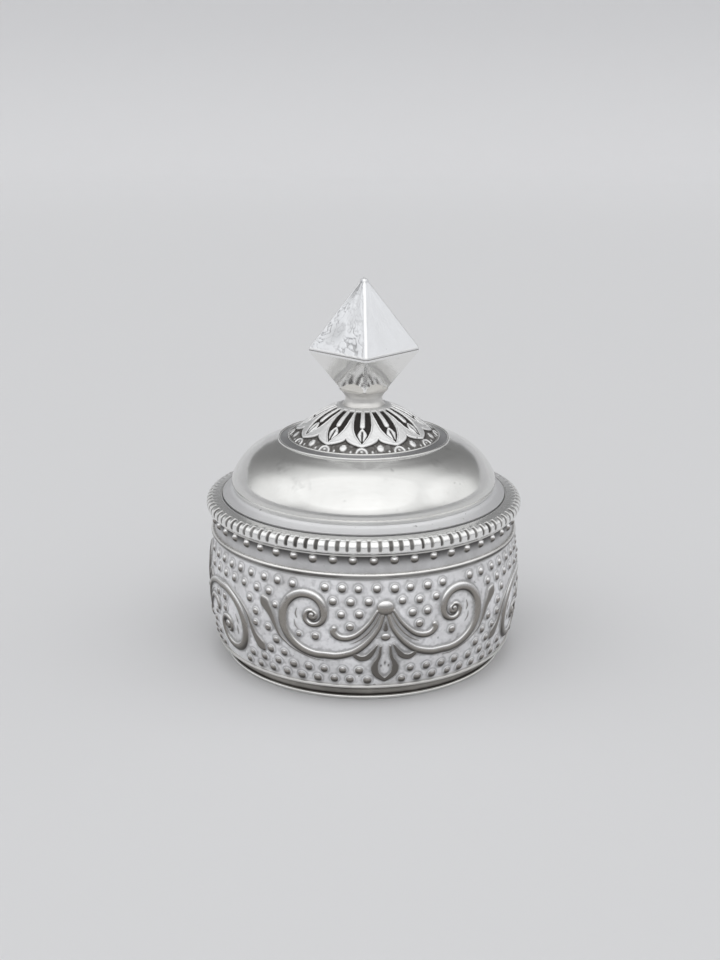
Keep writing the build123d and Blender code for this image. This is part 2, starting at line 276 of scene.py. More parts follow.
STROKES = (
    # Scroll
    stroke(
        scroll_path(),
        ((0, 0.34), (0.2, 0.56), (0.5, 0.74), (0.68, 0.68), (0.8, 0.5), (1, 0.38)), 0.64, 1.05,
    ),
    # Tendril that curls up inside the scroll
    stroke(
        curve([
            (1.25, 15.7), (2.5, 13.75), (4.05, 12.15), (5.2, 11.5),
            (6.2, 11.3), (7.2, 11.5), (7.9, 12.2), (7.8, 12.8),
        ]),
        ((0, 0.3), (0.5, 0.54), (0.85, 0.58), (1, 0.46)), 0.52, 1.0,
    ),
    # Thin strand between scroll and tendril
    stroke(
        curve([(0.8, 15.3), (1.75, 13.5), (2.9, 12.0), (4.3, 10.85), (5.3, 10.35)]),
        ((0, 0.2), (0.6, 0.17), (1, 0.04)), 0.16, 0.5,
    ),
    # Spur outside the scroll
    stroke(
        curve([
            (20.0, 15.8), (19.35, 15.0), (18.35, 13.7), (17.6, 12.1), (16.75, 10.5),
            (15.2, 9.1), (13.3, 8.1), (11.2, 7.4), (9.6, 7.2),
        ]),
        ((0, 0.5), (0.1, 0.98), (0.25, 0.62), (0.4, 0.36), (0.6, 0.2), (1, 0.07)), 0.42, 0.8, 0.5,
    ),
    # Leaf beside the tulip
    stroke(
        curve([(1.28, 10.2), (1.9, 9.2), (2.7, 8.25), (3.7, 7.98), (4.55, 8.4)]),
        ((0, 0.2), (0.4, 0.5), (0.75, 0.56), (1, 0.42)), 0.2, 0.85, 1.0,
    ),
    # Tulip
    stroke(
        curve([
            (0.7, 10.0), (0.9, 8.4), (1.42, 7.2), (1.62, 6.2), (1.4, 5.3), (0.72, 4.55), (0.0, 4.05),
        ]),
        ((0, 0.2), (0.25, 0.34), (0.5, 0.62), (0.7, 0.56), (1, 0.4)), 0.2, 0.9, 1.0,
    ),
    # Two dashes between the scroll and its eye
    stroke(
        curve([(13.8, 15.3), (13.95, 14.5), (13.75, 13.9)]),
        ((0, 0.08), (0.5, 0.16), (1, 0.08)), 0.14, 0.5,
    ),
    stroke(
        curve([(14.15, 13.4), (14.0, 12.7), (13.5, 12.0)]),
        ((0, 0.06), (0.5, 0.15), (1, 0.06)), 0.14, 0.45,
    ),
    # Wedge under the boss, and a short tick beside the drop
    stroke([(0.0, 14.1), (0.0, 12.85)], ((0, 0.14), (1, 0.42)), 0.16, 0.7, 1.0),
    stroke([(0.6, 11.45), (1.35, 11.35)], ((0, 0.09), (1, 0.05)), 0.08, 0.3),
)

# Eye of the scroll, boss and drop: middle, width over height, scale of the distance, radius, shoulder and
# height as a share of the relief
OVALS = (
    (EYE, 1.0, 1.0, 0.85, 0.8, 1.1),
    ((0.0, 16.15), 1.15, 1.05, 1.24, 1.15, 1.3),
    ((0.0, 11.5), 1.2, 1.1, 0.7, 0.6, 1.0),
)

# Pits of the tulip: x, z and half-height
PITS = ((-0.6, 6.5, 0.24), (0.0, 7.0, 0.36), (0.6, 6.5, 0.24))
PIT_HALF_WIDTH = 0.15


def motif(x, z):
    """Forms of a palmette with its two scrolls: signed distance, shoulder, height share and flatness."""
    side = np.abs(x)
    for path, halves, shoulder, share, flat in STROKES:
        yield stroke_distance(side, z, path, halves), shoulder, share, flat
    for (middle_x, middle_z), stretch, scale, size, shoulder, share in OVALS:
        distance = np.hypot((side - middle_x) / stretch, z - middle_z) * scale - size
        yield distance, shoulder, share, 0.0


def motif_cuts(x, z):
    """Fine dark cuts in the motif: the spiral line of each eye and the pits of the tulip."""
    points = 60
    bend = np.radians(np.linspace(150, 560, points))
    size = np.linspace(1.28, 0.22, points)
    line = np.stack([EYE[0] + size * np.cos(bend), EYE[1] + size * np.sin(bend)], axis=1)
    cut = bell(np.maximum(stroke_distance(np.abs(x), z, line, [0.03] * points), 0), 0.09)
    for pit_x, pit_z, half_height in PITS:
        cut += bell(x - pit_x, PIT_HALF_WIDTH) * bell(z - pit_z, half_height)
    return np.clip(cut, 0, 1)


# Embossed wall of the box

WALL_LOW, WALL_HIGH = span("body_shell")
WALL_BELLY_R = RIM_R - 0.4
WALL_LOW_R = RIM_R - 1.65
WALL_HIGH_R = RIM_R - 1.3
RELIEF = 0.4
STROKE_LIFT = 0.85
# How far the polish of a stroke and of a bead stays inside its edge
STROKE_EDGE = 0.04
BEAD_EDGE = 0.2

# Rows of filler beads: height, and the share of a pitch by which the row is turned
BEAD_ROWS = (
    (19.05, 0.5), (17.1, 0.0), (15.15, 0.5), (13.2, 0.0), (11.3, 0.0),
    (9.4, 0.5), (7.55, 0.0), (5.75, 0.5), (4.05, 0.0),
)
BEAD_R = 0.80
BEAD_LIFT = 1.12
# Gap that a bead leaves to a stroke, and the least room in which there is still a bead
BEAD_MARGIN = 0.1
BEAD_LEAST = 0.6


class Wall:
    """Fields over the wall by angle and height, lengths in millimetres."""

    def __init__(self, columns, rows):
        self.theta, self.z = ring_grid(columns, WALL_LOW, WALL_HIGH, rows)
        shape = self.theta.shape
        # Distance to the nearest form, to the nearest polished top and to the ground without beads round
        # each tulip, all negative inside
        self.gap = np.full(shape, FAR)
        self.cap = np.full(shape, FAR)
        self.keep_out = np.full(shape, FAR)
        self.height = np.zeros(shape)
        self.flatness = np.zeros(shape)
        self.cuts = np.zeros(shape)


def wall_radius(z):
    """Ground of the wall: one bulged arc from the floor to the girdle wire."""
    middle = (WALL_LOW + WALL_HIGH) / 2
    half = (WALL_HIGH - WALL_LOW) / 2
    t = (z - middle) / half
    ends = WALL_LOW_R + (WALL_HIGH_R - WALL_LOW_R) * (t + 1) / 2
    return ends + (WALL_BELLY_R - (WALL_LOW_R + WALL_HIGH_R) / 2) * (1 - t * t)


def emboss_motifs(wall):
    """Puts the motifs round the wall, upright and upside down by turns."""
    for k in range(MOTIFS):
        centre = math.radians(MOTIF_TURN + 360 / MOTIFS * k)
        x = wrapped(wall.theta, centre) * WALL_BELLY_R
        z = wall.z if k % 2 == 0 else MIRROR_SUM - wall.z
        near = np.abs(x) < MOTIF_REACH
        x, z = x[near], z[near]
        gap, height, flatness = wall.gap[near], wall.height[near], wall.flatness[near]
        for distance, shoulder, share, flat in motif(x, z):
            part = ridge(distance, shoulder, RELIEF * share * STROKE_LIFT)
            gap = np.minimum(gap, distance)
            flatness = np.where(part > height, flat, flatness)
            height = np.maximum(height, part)
        wall.gap[near] = gap
        wall.height[near] = height
        wall.flatness[near] = flatness
        wall.cap[near] = np.minimum(wall.cap[near], gap + STROKE_EDGE)
        wall.cuts[near] = np.maximum(wall.cuts[near], motif_cuts(x, z))
        round_tulip = np.hypot(x / 1.3, (z - TULIP_MIDDLE) / 3.0) - 1
        wall.keep_out[near] = np.minimum(wall.keep_out[near], round_tulip)


def emboss_bead(wall, centre, bead_z, bead_r):
    x = wrapped(wall.theta[:, 0], centre) * WALL_BELLY_R
    near = np.nonzero(np.abs(x) < 2)[0]
    distance = np.hypot(x[near][:, None], wall.z[near] - bead_z) - bead_r
    share = np.clip(1 + distance / bead_r, 0, 1)
    wall.height[near] = np.maximum(wall.height[near], BEAD_LIFT * RELIEF * (1 - share**2))
    wall.gap[near] = np.minimum(wall.gap[near], distance)
    wall.cap[near] = np.minimum(wall.cap[near], distance + BEAD_EDGE)


def emboss_beads(wall):
    """Puts the rows of beads on the wall, a bead wherever the motifs leave room for it."""
    columns, rows = wall.theta.shape
    pitch = 2 * math.pi / BEADS_IN_ROW
    draw = np.random.default_rng(4)
    for row_z, phase in BEAD_ROWS:
        for j in range(BEADS_IN_ROW):
            shift_x, shift_z, size = draw.uniform(-1, 1, 3)
            centre = math.radians(MOTIF_TURN) + (j + phase) * pitch + 0.05 * shift_x * pitch
            bead_z = row_z + 0.08 * shift_z
            column = int(round(centre / (2 * math.pi) * columns)) % columns
            row = int(round((bead_z - WALL_LOW) / (WALL_HIGH - WALL_LOW) * (rows - 1)))
            room = min(wall.gap[column, row] - BEAD_MARGIN, wall.keep_out[column, row])
            if room >= BEAD_LEAST:
                emboss_bead(wall, centre, bead_z, min(BEAD_R * (1 + 0.06 * size), room))


def wall_relief(wall):
    """Height over the ground: soft feet and fine grooves round the forms, and an uneven ground."""
    swell = 0.3 * blur(wall.height, 6.5, 5.5)
    groove = 0.03 * bell(np.maximum(wall.gap, 0), 0.16) * (wall.gap > -0.05)
    height = blur(0.92 * wall.height + swell - groove - 0.14 * wall.cuts, 0.7, 0.7)
    rough = np.random.default_rng(8).normal(0, 1, height.shape)
    ground = smooth(wall.gap, 0.0, 0.3)
    height = height + 0.06 * blur(rough, 1.5, 1.5) * ground + 0.25 * blur(rough, 4, 4) * ground
    height = height + 0.6 * blur(rough, 26, 16)
    edge = smooth(np.minimum(wall.z - WALL_LOW, WALL_HIGH - wall.z), 0, 0.5)
    within_rim = RIM_R - 0.01 - wall_radius(wall.z)
    return np.minimum(np.maximum(height * edge, -0.15), within_rim)


def wall_soot_and_shade(wall, height, polish):
    """Tarnish and painted shade in hollows, painted shade under each form and under the girdle wire, dark
    cuts, a dark line round each polished top, and darker flat tops.
    """
    step = (WALL_HIGH - WALL_LOW) / (wall.z.shape[1] - 1)
    down = np.gradient(blur(height, 1, 1), axis=1) / step
    soot_and_shade = np.maximum.reduce([
        # Tarnish and painted shade in the hollows round the forms
        0.42 * hollows(height, 4, 4, 0.09),
        # Painted shade on the downward faces of the relief
        smooth(down, 0.06, 0.6) * (0.46 + 0.46 * polish),
        0.85 * wall.cuts,
        0.62 * wall.flatness * smooth(-wall.gap, 0.08, 0.18),
        0.5 * bell(wall.cap, 0.05) * (wall.gap < 0.3),
        # Painted shadow under the girdle wire
        0.5 * smooth(wall.z, WALL_HIGH - 0.5, WALL_HIGH),
    ])
    return np.clip(soot_and_shade, 0, 1)


def body_relief():
    """The embossed wall, closed by the plain back of its sheet."""
    wall = Wall(1800, 210)
    emboss_motifs(wall)
    emboss_beads(wall)
    height = wall_relief(wall)
    polish = 1 - smooth(wall.cap, -0.05, 0.05)
    inside = [(wall_radius(z) - SHEET, z) for z in np.linspace(WALL_HIGH, WALL_LOW, 24)]
    piece = relief_piece("embossed_wall", wall_radius(wall.z) + height, wall.z, inside)
    paint_relief(piece, inside, polish, wall_soot_and_shade(wall, height, polish))
    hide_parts("body_shell")
    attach(piece, "box")
    return piece


# Collar strip under the lid, with one row of beads

COLLAR_R = RIM_R - 1.3
COLLAR_BEAD_R = 0.76
COLLAR_BEAD_LIFT = 0.56
COLLAR_BEAD_RISE = 1.88
COLLAR_BEAD_EDGE = 0.08


def collar_band():
    low, high = span("bead_band")
    theta, z = ring_grid(1500, low, high, 40)
    pitch = 2 * math.pi / BEADS_IN_BAND
    turn = math.radians(BAND_TURN)
    nearest = np.round((theta - turn) / pitch)
    which = nearest.astype(int) % BEADS_IN_BAND
    shift_x, shift_z, size = np.random.default_rng(5).uniform(-1, 1, (3, BEADS_IN_BAND + 2))
    dx = (theta - turn - nearest * pitch) * COLLAR_R + 0.05 * shift_x[which]
    dz = z - (low + COLLAR_BEAD_RISE) - 0.04 * shift_z[which]
    distance = np.hypot(dx, dz) - COLLAR_BEAD_R * (1 + 0.05 * size[which])
    share = np.clip(1 + distance / COLLAR_BEAD_R, 0, 1)

    groove = 0.04 * bell(np.maximum(distance, 0), 0.2) * (distance > -0.05)
    height = blur(COLLAR_BEAD_LIFT * (1 - share**2) - groove, 0.7, 0.7)
    rough = np.random.default_rng(9).normal(0, 1, height.shape)
    height = height + 0.03 * blur(rough, 1.3, 1.3) * smooth(distance, 0, 0.3)
    height = height * smooth(np.minimum(z - low, high - z), 0, 0.12)

    polish = 1 - smooth(distance + COLLAR_BEAD_EDGE, -0.05, 0.05)
    down = -dz / COLLAR_BEAD_R * (share < 1)
    soot_and_shade = np.maximum.reduce([
        # Tarnish and painted shade in the hollows
        0.35 * hollows(height, 5, 4, 0.1),
        # A darker ground, with painted shadow towards the top under the lid's rim
        (0.24 + 0.6 * smooth(z, high - 1.9, high - 0.1)) * (1 - polish),
        # Painted shade on the lower half of each bead
        smooth(down, 0.0, 0.7) * (0.3 + 0.4 * polish),
        0.6 * bell(distance + COLLAR_BEAD_EDGE, 0.05),
    ])
    inside = [(COLLAR_R - 0.5, high), (COLLAR_R - 0.5, low)]
    piece = relief_piece("collar_beads", COLLAR_R + height, z, inside)
    paint_relief(piece, inside, polish, soot_and_shade)
    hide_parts("bead_band")
    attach(piece, "box")
    return piece


# Rolled rim of the lid, with slots over its outer and upper side

FLUTE_STEPS = 18
ROLL_R = 1.1
SLOT_DEPTH = 0.24
CROWN_DROP = 0.09


def fluted_rim():
    columns = FLUTES * FLUTE_STEPS
    seat, shelf = span("lid_rim")
    degrees = np.linspace(-90, 92, 60)[None, :]
    phi = np.radians(degrees)
    turn = np.arange(columns) / FLUTE_STEPS
    which = np.floor(turn).astype(int)
    shift, width, depth = np.random.default_rng(11).uniform(-1, 1, (3, FLUTES))

    # Distance from the middle of a slot, as a share of the pitch
    across = np.abs(turn - which - 0.5 - 0.05 * shift[which])[:, None]
    slot_half = 0.2 + 0.04 * width[which][:, None]
    foot_round = 18 * np.clip(across / slot_half, 0, 1) ** 2
    in_slot = 1 - smooth(across, slot_half - 0.1, slot_half + 0.04)
    zone = smooth(degrees, -34 + foot_round, -22 + foot_round) * (1 - smooth(degrees, 84, 92))
    cut = in_slot * zone * (0.85 + 0.15 * depth[which])[:, None]
    # Each tongue between two slots is crowned
    crowned = smooth(degrees, -30, -10) * (1 - smooth(degrees, 74, 90))
    crown = CROWN_DROP * (1 - (1 - 2 * across) ** 2) * crowned
    size = ROLL_R - 0.004 - SLOT_DEPTH * cut - crown * (1 - cut)
    r = RIM_R - ROLL_R + size * np.cos(phi)
    z = np.maximum(seat + ROLL_R + size * np.sin(phi), seat)

    # From the roll over the shelf to its inner edge, and back below: radius, height and darkening, which is
    # a dark joint at the flange's edge and painted shade under the flange
    inner = np.array([
        (RIM_R - 1.7, seat + 2 * ROLL_R + 0.02, 0.0),
        (RIM_R - 2.3, shelf - 0.02, 0.0),
        (RIM_R - 2.62, shelf - 0.005, 0.1),
        (RIM_R - 2.72, shelf - 0.1, 0.6),
        (RIM_R - 2.80, shelf - 0.1, 0.6),
        (SHELF_INNER_R, shelf - 0.1, 0.6),
        (SHELF_INNER_R, shelf - 0.6, 1.0),
        (RIM_R - 2.4, shelf - 0.6, 1.0),
        (RIM_R - 2.4, seat, 1.0),
    ])
    piece = relief_piece("fluted_rim", r, z, inner[:, :2], sharp=50)
    # Dark slots, and painted shade on the underside of the roll
    outer_soot_and_shade = np.maximum(0.97 * cut, smooth(-degrees, 48, 80))
    soot_and_shade = np.concatenate([outer_soot_and_shade, np.tile(inner[:, 2], (columns, 1))], axis=1)
    paint(piece, "polish", 1 - 0.6 * soot_and_shade)
    paint(piece, "soot_and_shade", soot_and_shade)
    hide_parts("lid_rim")
    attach(piece, "lid")
    return piece


# Turned and drawn rings without ornament: closed outlines of (radius, height)


def foot_wire_outline():
    low, high = span("foot_wire")
    edge = radius("foot_wire")
    bend = 0.35
    outer = arc((edge - bend, low + bend), bend, -85, 90, 14)
    return [(FOOT_INNER_R, low), (edge - 0.4, low), *outer, (FOOT_INNER_R, high)]


def foot_ring_outline():
    low, high = span("foot_ring")
    edge = radius("foot_ring")
    waist = RIM_R - 2.95
    hollow = curve(
        [
            (waist, low), (waist + 0.05, low + 0.45), (waist + 0.35, low + 1.1),
            (edge - 0.3, high - 0.25), (edge, high),
        ],
        6,
    )
    return [(FOOT_INNER_R, high), (FOOT_INNER_R, low), *hollow]


def base_plate_outline():
    low, high = span("base_plate")
    middle_gap = 0.02
    half = (high - low) / 2
    round_r = radius("base_plate") - half
    outer = arc((round_r, low + half), half, -80, 80, 9)
    return [(middle_gap, high), (middle_gap, low), (round_r, low), *outer, (round_r, high)]


def girdle_wire_outline():
    low, high = span("girdle_wire")
    inner = RIM_R - 1.85
    half = (high - low) / 2
    round_r = radius("girdle_wire") - half
    return [(inner, high), (inner, low), (round_r, low), *arc((round_r, low + half), half, -88, 88, 25)]


def mouth_rim_outline():
    low, high = span("mouth_rim")
    edge = radius("mouth_rim")
    inner = RIM_R - 2.5
    return [
        (inner, high), (inner, low), (edge - 0.15, low),
        (edge, low + 0.12), (edge, high - 0.1), (edge - 0.12, high),
    ]


def mouth_bezel_outline():
    low, high = span("mouth_bezel")
    edge = radius("mouth_bezel")
    inner = edge - SHEET
    return [
        (inner, high - 0.12), (inner, low), (edge, low), (edge, high - 0.3),
        (edge - 0.12, high - 0.06), (edge - 0.3, high), (inner + 0.12, high),
    ]


def lid_flange_outline():
    low, high = span("lid_flange")
    edge = radius("lid_flange")
    inner = DOME_FOOT_R - SHEET
    slope = curve(
        [
            (edge - 0.03, low + 0.24), (edge - 0.6, low + 0.36), (edge - 1.3, low + 0.62),
            (DOME_FOOT_R + 0.1, high - 0.06), (DOME_FOOT_R - 0.05, high),
        ],
        5,
    )
    foot = [(SHELF_INNER_R, low), (edge, low), (edge, low + 0.16)]
    return [*foot, *slope, (inner, high), (inner, high - SHEET)]


BORDER_INSET = 0.45
BORDER_RISE = 0.13


def outer_ring_outline():
    low = bottom("rosette_band")
    edge = radius("outer_ring_wire")
    crown = arc((edge - 0.22, low + BORDER_RISE), 0.21, 0, 180, 11)
    return [(edge - BORDER_INSET, low), (edge, low), *crown]


def inner_ring_outline():
    low = bottom("rosette_band")
    edge = radius("inner_ring_wire")
    wire_r = 0.175
    crown = arc((edge - wire_r, top("inner_ring_wire") - 0.18), wire_r, 0, 180, 11)
    return [(edge - 2 * wire_r, low), (edge, low), *crown]


def rosette_band_outline():
    low, high = span("rosette_band")
    inner = radius("inner_ring_wire")
    edge = radius("outer_ring_wire") - BORDER_INSET
    return [(inner, low), (edge, low), (edge, low + BORDER_RISE), (inner, high)]


# Node: name of its piece, outline, waviness in millimetres and the seed of that
RINGS = {
    "foot_wire": ("resting_wire", foot_wire_outline, 0.05, 21),
    "foot_ring": ("hollow_foot", foot_ring_outline, 0.08, 22),
    "base_plate": ("floor_plate", base_plate_outline, 0.06, 23),
    "girdle_wire": ("girdle_moulding", girdle_wire_outline, 0.07, 24),
    "mouth_rim": ("mouth_lip", mouth_rim_outline, 0.05, 25),
    "mouth_bezel": ("mouth_collar", mouth_bezel_outline, 0.0, 0),
    "lid_flange": ("matte_flange", lid_flange_outline, 0.04, 26),
    "outer_ring_wire": ("outer_ring", outer_ring_outline, 0.05, 27),
    "inner_ring_wire": ("inner_ring", inner_ring_outline, 0.05, 28),
    "rosette_band": ("rosette_border", rosette_band_outline, 0.0, 0),
}


def rise_of(outline, node):
    """Height of each point of an outline, from 0 at the bottom of its node to 1 at the top."""
    low, high = span(node)
    return (np.array([z for _, z in outline]) - low) / (high - low)


def streaks(seed, orders):
    """Uneven tarnish round a ring, from about 0 to 1."""
    return 0.5 + 0.5 * waves(angles(RING_STEPS), seed, orders)[:, None]


def foot_ring_marks(outline):
    """Polish on the bulge of the hollow, painted shadow at its ends, and tarnish in streaks."""
    rise = rise_of(outline, "foot_ring")
    # Painted shadow at the top, under the floor plate, and at the bottom, by the resting wire
    ends = 0.9 * smooth(rise, 0.6, 0.92) + 0.85 * (1 - smooth(rise, 0.02, 0.24))
    soot_and_shade = ends + 0.45 * streaks(61, (7, 11, 19, 37, 61)) * (rise < 0.8)
    return smooth(rise, 0.1, 0.4) * (1 - smooth(rise, 0.4, 0.7)), np.clip(soot_and_shade, 0, 1)


def girdle_wire_marks(outline):
    """Polish all over, and a band of painted shade on the lower half of the round, streaked like tarnish.
    """
    rise = rise_of(outline, "girdle_wire")
    lower_half = smooth(rise, 0.08, 0.2) * (1 - smooth(rise, 0.58, 0.72))
    return 1.0, lower_half * (0.55 + 0.45 * streaks(62, (5, 9, 17, 31, 53)))


def lid_flange_marks(outline):
    """No polish, and tarnish in the joint with the rim."""
    low = bottom("lid_flange")
    edge = radius("lid_flange")
    return 0.0, [0.5 if r > edge - 0.02 and z < low + 0.2 else 0.0 for r, z in outline]


RING_MARKS = {
    "foot_ring": foot_ring_marks,
    "girdle_wire": girdle_wire_marks,
    "lid_flange": lid_flange_marks,
}


def plain_rings():
    """Makes the rings of the table above, and returns the piece of each node."""
    on_lid = {"lid_flange", "outer_ring_wire", "inner_ring_wire", "rosette_band"}
    made = {}
    for node, (name, outline_of, wobble, seed) in RINGS.items():
        outline = outline_of()
        piece = revolve(name, outline, wobble=wobble, seed=seed)
        if node in RING_MARKS:
            for mark, values in zip(("polish", "soot_and_shade"), RING_MARKS[node](outline)):
                paint(piece, mark, np.broadcast_to(values, (RING_STEPS, len(outline))))
        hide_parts(node)
        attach(piece, "lid" if node in on_lid else "box")
        made[node] = piece
    return made


# Dome of the lid


def dome():
    """Bun-shaped dome, with slow waves that get weaker towards its flat top."""
    low, high = span("lid_dome")
    foot, flat = DOME_FOOT_R, DOME_FLAT_R
    outside = curve(
        [
            (foot, low), (foot + 0.27, low + 0.5), (foot + 0.33, low + 1.25), (foot + 0.05, low + 2.2),
            (foot - 0.6, low + 3.3), (foot - 1.6, low + 4.6), (foot - 2.9, low + 5.8),
            (foot - 4.6, low + 6.85), (foot - 6.2, low + 7.5), (flat, high - 0.02),
        ],
        8,
    )
    crown = [(flat - 0.3, high), (PIN_HOLE_R, high), (PIN_HOLE_R, high - SHEET), (flat, high - SHEET)]
    inside = [
        (foot - 4.9, low + 6.2), (foot - 3.4, low + 5.3), (foot - 2.1, low + 4.1),
        (foot - 0.9, low + 2.5), (foot - 0.35, low + 1.3), (foot - SHEET, low),
    ]
    section = np.vstack([outside, crown, inside])
    count = 480
    r = np.tile(section[:, 0], (count, 1))
    z = np.tile(section[:, 1], (count, 1))
    share = np.clip((z - low) / (high - low), 0, 1)
    uneven = 1 + waves(angles(count)[:, None] + 2.1 * share, 31, (2, 3, 4, 7))
    r = r - 0.035 * uneven * (1 - share * 0.5) * (r > flat)
    piece = ring_piece("polished_dome", r, z, sharp=50)
    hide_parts("lid_dome")
    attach(piece, "lid")
    return piece


# Leaf rosette: radii and half-widths in millimetres

LEAF_NOTCH_R = 9.7
LEAF_TIP_R = 11.1
RECESS_TIP_R = 10.6
RECESS_R = (4.4, 6.0, 7.4, 8.4, 9.4, 10.1, 10.65)
RECESS_HALF = (1.02, 1.27, 1.38, 1.32, 0.93, 0.43, 0.0)
PETAL_HALF = math.radians(180 / PETALS)
ROSETTE_INNER_R = 2.6


def border_field(u, r, outside):
    """Height of the border: an arch and a pip before each tip, a creased knot between two tips."""
    side = np.abs(u)
    arch = bell(np.hypot(u / 0.95, (r - 12.05) / 0.85) - 0.88, 0.17) * (outside > -0.2)
    between = side - r * PETAL_HALF
    crease = bell(r - 11.2 - 0.5 * between, 0.09)
    return np.maximum.reduce([
        0.3 * arch,
        0.2 * pip(u, r - 11.72, 0.32, 0.24),
        0.34 * pip(between, r - 11.25, 0.62, 0.58) * (1 - 0.35 * crease),
        0.22 * pip(side - r * PETAL_HALF * 0.56, r - 11.8, 0.22, 0.26),
    ])


def leaf_field(u, r):
    """Height and darkening of one sector of the rosette, with painted shadow just outside each leaf; u runs
    across the leaf and r out from the axis.
    """
    side = np.abs(u)
    across = np.clip(side / np.maximum(r * PETAL_HALF, 0.1), 0, 1)
    outside = r - (LEAF_NOTCH_R + (LEAF_TIP_R - LEAF_NOTCH_R) * (1 - across) ** 0.5)
    blade = 1 - smooth(outside, -0.1, 0.06)

    # Recess in the leaf, with a raised lip and a fine line round it
    beyond = side - np.interp(r, RECESS_R, RECESS_HALF)
    recess = (1 - smooth(beyond, -0.08, 0.06)) * (r < RECESS_TIP_R)
    line = bell(beyond - 0.27, 0.07) * smooth(r, 6.2, 7.2) * blade * (r < 10.7)
    lip = bell(outside + 0.16, 0.1) + bell(beyond - 0.1, 0.1) * (r < RECESS_TIP_R)
    height = blade * (1 - recess) * (0.27 + 0.08 * np.clip(lip, 0, 1)) - 0.09 * line

    # Rib and slit bud in the recess
    rib = stroke_distance(side, r, [(0, 4.0), (0, 7.55)], [0.3, 0.44])
    bud_half = 0.8 * np.sqrt(np.clip((r - 8.1) / 0.9, 0, 1)) * np.clip((10.35 - r) / 1.25, 0, 1) ** 0.7
    bud = ridge(side - bud_half, 0.35, 0.34) * (bud_half > 0.02)
    height = np.maximum.reduce([height, ridge(rib, 0.3, 0.36), bud])
    slit = bell(u, 0.15) * smooth(r, 8.45, 8.65) * (1 - smooth(r, 10.2, 10.4))
    height = height - 0.3 * slit * (height > 0.1)
    height = np.maximum(height, border_field(u, r, outside))

    # Painted shadow on the ground just outside the edge of each leaf
    shade = bell(np.maximum(outside, 0), 0.22) * (outside > 0)
    soot_and_shade = np.maximum(0.92 * recess, 0.5 + 0.45 * shade) * (1 - smooth(height, 0.06, 0.16))
    return height, np.maximum.reduce([soot_and_shade, 0.3 * line, slit * (side < 0.4)])


def rosette():
    """Cone of leaves with its border, closed by a flat underside."""
    low = bottom("leaf_rosette")
    edge = radius("leaf_rosette") - 0.05
    theta, r = ring_grid(PETALS * 110, ROSETTE_INNER_R, edge, 150)
    height, soot_and_shade = leaf_field(wrapped(theta, math.radians(PETAL_TURN), 2 * PETAL_HALF) * r, r)
    height = blur(height, 0.8, 0.8)
    rough = np.random.default_rng(12).normal(0, 1, height.shape)
    border_ground = smooth(r, 10.2, 10.8) * (1 - smooth(height, 0.04, 0.12))
    leafage = np.clip(np.abs(blur(rough, 4, 3)) / 0.05, 0, 1)
    height = height + 0.05 * blur(rough, 1.5, 1.5) + 0.09 * leafage * border_ground

    # A plain skirt round the foot of the neck
    skirt = smooth(4.75 - r, 0, 0.35)
    height = height * (1 - skirt) + 0.3 * skirt
    soot_and_shade = soot_and_shade * (1 - skirt)
    slope = curve(
        [
            (edge, low + 0.35), (10.4, low + 1.65), (9.0, low + 2.62), (7.9, low + 3.4),
            (6.6, low + 4.2), (5.2, low + 4.85), (4.0, bottom("neck")),
        ],
        10,
    )
    surface = np.interp(r, slope[::-1, 0], slope[::-1, 1]) + height
    inside = [(edge, low), (9.0, low), (ROSETTE_INNER_R, low)]
    piece = relief_piece("leaf_collar", r, np.minimum(surface, top("leaf_rosette")), inside)
    shine = smooth(height, 0.06, 0.2) * (0.76 + 0.24 * smooth(height, 0.28, 0.33))
    paint_relief(piece, inside, shine, soot_and_shade)
    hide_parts("leaf_rosette")
    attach(piece, "lid")
    return piece


# Neck under the knob


def spool():
    low, high = span("neck")
    side = curve(
        [
            (3.95, low), (3.7, low + 0.12), (3.3, low + 0.55), (3.05, low + 1.05), (3.05, low + 1.55),
            (3.3, low + 2.05), (3.68, low + 2.5), (3.98, high),
        ],
        6,
    )
    outline = [(PIN_HOLE_R, high), (PIN_HOLE_R, low), *side]
    piece = revolve("neck_spool", outline, count=192, wobble=0.04, seed=41)
    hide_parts("neck")
    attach(piece, "lid")
    return piece


# Knob of two pyramids; a pyramid's width is its half-diagonal, in millimetres

EQUATOR = top("lower_pyramid")
WIDE = radius("lower_pyramid") + 0.4
NARROW_BELOW = 4.0
NARROW_ABOVE = 0.4
EDGE_ROUNDING = 0.45
TIP_ROUNDING = 0.7
SEAM = 0.10
FACE_STEPS = 84
KNOB_LEVELS = 96
LINING_LEVELS = 8
LEAST_CRINKLE = 0.02

# Depth of the dents and of the wrinkles of each face, from the right front one round to the left front one
UNDER_DENTS = ((0.03, 0.0), (0.03, 0.0), (0.03, 0.0), (0.04, 0.0))
TOP_DENTS = ((0.05, 0.02), (0.05, 0.02), (0.06, 0.03), (0.12, 0.11))


def face_angle(k):
    """Angle round the axis towards which face k looks."""
    return math.radians(KNOB_TURN) + math.pi / 4 + k * math.pi / 2


def rounded_square(half):
    """Points of a level square with rounded corners, and the place of each along its face, -1 to 1."""
    apothem = half / math.sqrt(2)
    corner = min(EDGE_ROUNDING, 0.9 * apothem)
    flat = apothem - corner
    bend = np.radians(np.linspace(-45, 0, 6))
    into = np.stack([-flat + corner * np.sin(bend), flat + corner * np.cos(bend)], axis=1)
    along = np.linspace(-flat, flat, FACE_STEPS + 2)[1:-1]
    straight = np.stack([along, np.full(FACE_STEPS, apothem)], axis=1)
    out_of = np.stack([-into[::-1, 0], into[::-1, 1]], axis=1)[:-1]
    x, y = np.vstack([into, straight, out_of]).T
    ring = []
    for k in range(4):
        sine, cosine = math.sin(face_angle(k)), math.cos(face_angle(k))
        ring.append(np.stack([x * cosine + y * sine, x * sine - y * cosine], axis=1))
    return np.vstack(ring), x / apothem


